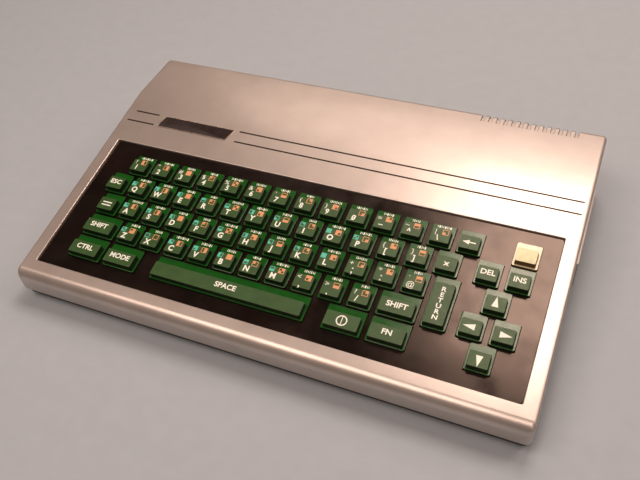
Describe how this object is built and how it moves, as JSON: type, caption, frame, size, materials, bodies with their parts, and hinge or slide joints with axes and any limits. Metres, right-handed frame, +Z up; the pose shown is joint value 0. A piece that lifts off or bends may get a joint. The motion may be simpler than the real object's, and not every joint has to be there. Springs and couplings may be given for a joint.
{
  "type": "home computer",
  "caption": "Wedge-shaped home computer with a full built-in keyboard in a sunken dark panel, a side cartridge slot and sockets at the back.",
  "frame": {"origin": "on the ground under the middle of the whole machine's box", "axes": "+X to the right along the width, +Y from the front edge to the back, +Z up"},
  "size_m": [0.357, 0.2312, 0.052],
  "materials": {
    "silver_shell": "fine silver metallic paint on moulded plastic, satin to gloss",
    "dark_shell": "fine-grained dark plastic",
    "panel_gloss": "polished near-black plastic",
    "key_green": "moulded deep green plastic, low sheen",
    "key_cream": "moulded cream plastic, low sheen",
    "dome_rubber": "moulded silicone rubber",
    "board_green": "glass-fibre board with green solder mask",
    "steel": "zinc-plated steel",
    "cable_grey": "flat grey ribbon",
    "chip_black": "moulded epoxy",
    "capacitor_sleeve": "shrunk plastic sleeve",
    "aluminium": "extruded",
    "tinplate": "bright tinplate",
    "socket_black": "moulded black plastic",
    "rocker_black": "moulded black plastic with a light sheen",
    "rear_plate": "fine-grained dark plastic",
    "flap_dark": "fine-grained dark plastic",
    "foot_rubber": "moulded black rubber"
  },
  "bodies": {
    "case": {"top_case": "silver_shell", "bottom_case": "dark_shell", "key_panel": "panel_gloss", "dome_sheet": "dome_rubber", "keyboard_pcb": "board_green", "keyboard_plate": "steel", "keyboard_cable": "cable_grey", "main_board": "board_green", "logic_chips": "chip_black", "capacitors": "capacitor_sleeve", "regulators": "chip_black", "heat_sink": "aluminium", "rf_modulator": "tinplate", "din_sockets": "socket_black", "joystick_ports": "tinplate", "power_inlet": "socket_black", "power_switch": "socket_black", "rear_panel": "rear_plate", "cartridge_connector": "socket_black", "cartridge_guide": "silver_shell", "door_pin": "steel", "door_spring": "steel", "rubber_feet": "foot_rubber", "case_screws": "steel", "inner_screws": "steel"},
    "rocker": {"power_rocker": "rocker_black"},
    "flap": {"cartridge_door": "flap_dark"},
    "keys_1_2_3_body": {"keys_1_2_3": "key_green"},
    "keys_4_5_body": {"keys_4_5": "key_green"},
    "keys_6_7_body": {"keys_6_7": "key_green"},
    "keys_8_9_0_body": {"keys_8_9_0": "key_green"},
    "keys_minus_caret_body": {"keys_minus_caret": "key_green"},
    "keys_backslash_back_body": {"keys_backslash_back": "key_green"},
    "key_reset_body": {"key_reset": "key_cream"},
    "keys_esc_q_body": {"keys_esc_q": "key_green"},
    "keys_w_e_body": {"keys_w_e": "key_green"},
    "keys_r_t_body": {"keys_r_t": "key_green"},
    "keys_y_u_body": {"keys_y_u": "key_green"},
    "keys_i_o_p_body": {"keys_i_o_p": "key_green"},
    "keys_brackets_rub_body": {"keys_brackets_rub": "key_green"},
    "keys_del_ins_body": {"keys_del_ins": "key_green"},
    "keys_line_a_body": {"keys_line_a": "key_green"},
    "keys_s_d_f_body": {"keys_s_d_f": "key_green"},
    "keys_g_h_body": {"keys_g_h": "key_green"},
    "keys_j_k_l_body": {"keys_j_k_l": "key_green"},
    "keys_semicolon_colon_at_body": {"keys_semicolon_colon_at": "key_green"},
    "key_return_body": {"key_return": "key_green"},
    "key_shift_left_body": {"key_shift_left": "key_green"},
    "keys_z_x_c_body": {"keys_z_x_c": "key_green"},
    "keys_v_b_body": {"keys_v_b": "key_green"},
    "keys_n_m_body": {"keys_n_m": "key_green"},
    "keys_comma_stop_slash_body": {"keys_comma_stop_slash": "key_green"},
    "key_shift_right_body": {"key_shift_right": "key_green"},
    "key_ctrl_body": {"key_ctrl": "key_green"},
    "key_program_body": {"key_program": "key_green"},
    "key_space_body": {"key_space": "key_green"},
    "key_symbol_body": {"key_symbol": "key_green"},
    "key_function_body": {"key_function": "key_green"},
    "keys_up_down_body": {"keys_up_down": "key_green"},
    "keys_left_right_body": {"keys_left_right": "key_green"}
  },
  "joints": [
    {"name": "power_rocker_tip", "type": "hinge", "parent": "case", "child": "rocker", "pos_m": [0.1495, 0.10505, 0.026], "axis": [1, 0, 0], "range_deg": [0, 16]},
    {"name": "flap_hinge", "type": "hinge", "parent": "case", "child": "flap", "pos_m": [0.1756, 0.04105, 0.0255], "axis": [0, 1, 0], "range_deg": [0, 85], "stiffness_Nm_per_rad": 0.0008, "springref_deg": -28.65, "deforming": ["door_spring"]},
    {"name": "keys_1_2_3_press", "type": "slide", "parent": "case", "child": "keys_1_2_3_body", "axis": [0, 0.1478, -0.989], "range_m": [0, 0.0022], "stiffness_N_per_m": 300, "springref_m": -0.001, "deforming": ["dome_sheet"]},
    {"name": "keys_4_5_press", "type": "slide", "parent": "case", "child": "keys_4_5_body", "axis": [0, 0.1478, -0.989], "range_m": [0, 0.0022], "stiffness_N_per_m": 300, "springref_m": -0.001, "deforming": ["dome_sheet"]},
    {"name": "keys_6_7_press", "type": "slide", "parent": "case", "child": "keys_6_7_body", "axis": [0, 0.1478, -0.989], "range_m": [0, 0.0022], "stiffness_N_per_m": 300, "springref_m": -0.001, "deforming": ["dome_sheet"]},
    {"name": "keys_8_9_0_press", "type": "slide", "parent": "case", "child": "keys_8_9_0_body", "axis": [0, 0.1478, -0.989], "range_m": [0, 0.0022], "stiffness_N_per_m": 300, "springref_m": -0.001, "deforming": ["dome_sheet"]},
    {"name": "keys_minus_caret_press", "type": "slide", "parent": "case", "child": "keys_minus_caret_body", "axis": [0, 0.1478, -0.989], "range_m": [0, 0.0022], "stiffness_N_per_m": 300, "springref_m": -0.001, "deforming": ["dome_sheet"]},
    {"name": "keys_backslash_back_press", "type": "slide", "parent": "case", "child": "keys_backslash_back_body", "axis": [0, 0.1478, -0.989], "range_m": [0, 0.0022], "stiffness_N_per_m": 300, "springref_m": -0.001, "deforming": ["dome_sheet"]},
    {"name": "key_reset_press", "type": "slide", "parent": "case", "child": "key_reset_body", "axis": [0, 0.1478, -0.989], "range_m": [0, 0.0022], "stiffness_N_per_m": 300, "springref_m": -0.001, "deforming": ["dome_sheet"]},
    {"name": "keys_esc_q_press", "type": "slide", "parent": "case", "child": "keys_esc_q_body", "axis": [0, 0.1478, -0.989], "range_m": [0, 0.0022], "stiffness_N_per_m": 300, "springref_m": -0.001, "deforming": ["dome_sheet"]},
    {"name": "keys_w_e_press", "type": "slide", "parent": "case", "child": "keys_w_e_body", "axis": [0, 0.1478, -0.989], "range_m": [0, 0.0022], "stiffness_N_per_m": 300, "springref_m": -0.001, "deforming": ["dome_sheet"]},
    {"name": "keys_r_t_press", "type": "slide", "parent": "case", "child": "keys_r_t_body", "axis": [0, 0.1478, -0.989], "range_m": [0, 0.0022], "stiffness_N_per_m": 300, "springref_m": -0.001, "deforming": ["dome_sheet"]},
    {"name": "keys_y_u_press", "type": "slide", "parent": "case", "child": "keys_y_u_body", "axis": [0, 0.1478, -0.989], "range_m": [0, 0.0022], "stiffness_N_per_m": 300, "springref_m": -0.001, "deforming": ["dome_sheet"]},
    {"name": "keys_i_o_p_press", "type": "slide", "parent": "case", "child": "keys_i_o_p_body", "axis": [0, 0.1478, -0.989], "range_m": [0, 0.0022], "stiffness_N_per_m": 300, "springref_m": -0.001, "deforming": ["dome_sheet"]},
    {"name": "keys_brackets_rub_press", "type": "slide", "parent": "case", "child": "keys_brackets_rub_body", "axis": [0, 0.1478, -0.989], "range_m": [0, 0.0022], "stiffness_N_per_m": 300, "springref_m": -0.001, "deforming": ["dome_sheet"]},
    {"name": "keys_del_ins_press", "type": "slide", "parent": "case", "child": "keys_del_ins_body", "axis": [0, 0.1478, -0.989], "range_m": [0, 0.0022], "stiffness_N_per_m": 300, "springref_m": -0.001, "deforming": ["dome_sheet"]},
    {"name": "keys_line_a_press", "type": "slide", "parent": "case", "child": "keys_line_a_body", "axis": [0, 0.1478, -0.989], "range_m": [0, 0.0022], "stiffness_N_per_m": 300, "springref_m": -0.001, "deforming": ["dome_sheet"]},
    {"name": "keys_s_d_f_press", "type": "slide", "parent": "case", "child": "keys_s_d_f_body", "axis": [0, 0.1478, -0.989], "range_m": [0, 0.0022], "stiffness_N_per_m": 300, "springref_m": -0.001, "deforming": ["dome_sheet"]},
    {"name": "keys_g_h_press", "type": "slide", "parent": "case", "child": "keys_g_h_body", "axis": [0, 0.1478, -0.989], "range_m": [0, 0.0022], "stiffness_N_per_m": 300, "springref_m": -0.001, "deforming": ["dome_sheet"]},
    {"name": "keys_j_k_l_press", "type": "slide", "parent": "case", "child": "keys_j_k_l_body", "axis": [0, 0.1478, -0.989], "range_m": [0, 0.0022], "stiffness_N_per_m": 300, "springref_m": -0.001, "deforming": ["dome_sheet"]},
    {"name": "keys_semicolon_colon_at_press", "type": "slide", "parent": "case", "child": "keys_semicolon_colon_at_body", "axis": [0, 0.1478, -0.989], "range_m": [0, 0.0022], "stiffness_N_per_m": 300, "springref_m": -0.001, "deforming": ["dome_sheet"]},
    {"name": "key_return_press", "type": "slide", "parent": "case", "child": "key_return_body", "axis": [0, 0.1478, -0.989], "range_m": [0, 0.0022], "stiffness_N_per_m": 300, "springref_m": -0.001, "deforming": ["dome_sheet"]},
    {"name": "key_shift_left_press", "type": "slide", "parent": "case", "child": "key_shift_left_body", "axis": [0, 0.1478, -0.989], "range_m": [0, 0.0022], "stiffness_N_per_m": 300, "springref_m": -0.001, "deforming": ["dome_sheet"]},
    {"name": "keys_z_x_c_press", "type": "slide", "parent": "case", "child": "keys_z_x_c_body", "axis": [0, 0.1478, -0.989], "range_m": [0, 0.0022], "stiffness_N_per_m": 300, "springref_m": -0.001, "deforming": ["dome_sheet"]},
    {"name": "keys_v_b_press", "type": "slide", "parent": "case", "child": "keys_v_b_body", "axis": [0, 0.1478, -0.989], "range_m": [0, 0.0022], "stiffness_N_per_m": 300, "springref_m": -0.001, "deforming": ["dome_sheet"]},
    {"name": "keys_n_m_press", "type": "slide", "parent": "case", "child": "keys_n_m_body", "axis": [0, 0.1478, -0.989], "range_m": [0, 0.0022], "stiffness_N_per_m": 300, "springref_m": -0.001, "deforming": ["dome_sheet"]},
    {"name": "keys_comma_stop_slash_press", "type": "slide", "parent": "case", "child": "keys_comma_stop_slash_body", "axis": [0, 0.1478, -0.989], "range_m": [0, 0.0022], "stiffness_N_per_m": 300, "springref_m": -0.001, "deforming": ["dome_sheet"]},
    {"name": "key_shift_right_press", "type": "slide", "parent": "case", "child": "key_shift_right_body", "axis": [0, 0.1478, -0.989], "range_m": [0, 0.0022], "stiffness_N_per_m": 300, "springref_m": -0.001, "deforming": ["dome_sheet"]},
    {"name": "key_ctrl_press", "type": "slide", "parent": "case", "child": "key_ctrl_body", "axis": [0, 0.1478, -0.989], "range_m": [0, 0.0022], "stiffness_N_per_m": 300, "springref_m": -0.001, "deforming": ["dome_sheet"]},
    {"name": "key_program_press", "type": "slide", "parent": "case", "child": "key_program_body", "axis": [0, 0.1478, -0.989], "range_m": [0, 0.0022], "stiffness_N_per_m": 300, "springref_m": -0.001, "deforming": ["dome_sheet"]},
    {"name": "key_space_press", "type": "slide", "parent": "case", "child": "key_space_body", "axis": [0, 0.1478, -0.989], "range_m": [0, 0.0022], "stiffness_N_per_m": 300, "springref_m": -0.001, "deforming": ["dome_sheet"]},
    {"name": "key_symbol_press", "type": "slide", "parent": "case", "child": "key_symbol_body", "axis": [0, 0.1478, -0.989], "range_m": [0, 0.0022], "stiffness_N_per_m": 300, "springref_m": -0.001, "deforming": ["dome_sheet"]},
    {"name": "key_function_press", "type": "slide", "parent": "case", "child": "key_function_body", "axis": [0, 0.1478, -0.989], "range_m": [0, 0.0022], "stiffness_N_per_m": 300, "springref_m": -0.001, "deforming": ["dome_sheet"]},
    {"name": "keys_up_down_press", "type": "slide", "parent": "case", "child": "keys_up_down_body", "axis": [0, 0.1478, -0.989], "range_m": [0, 0.0022], "stiffness_N_per_m": 300, "springref_m": -0.001, "deforming": ["dome_sheet"]},
    {"name": "keys_left_right_press", "type": "slide", "parent": "case", "child": "keys_left_right_body", "axis": [0, 0.1478, -0.989], "range_m": [0, 0.0022], "stiffness_N_per_m": 300, "springref_m": -0.001, "deforming": ["dome_sheet"]}
  ]
}
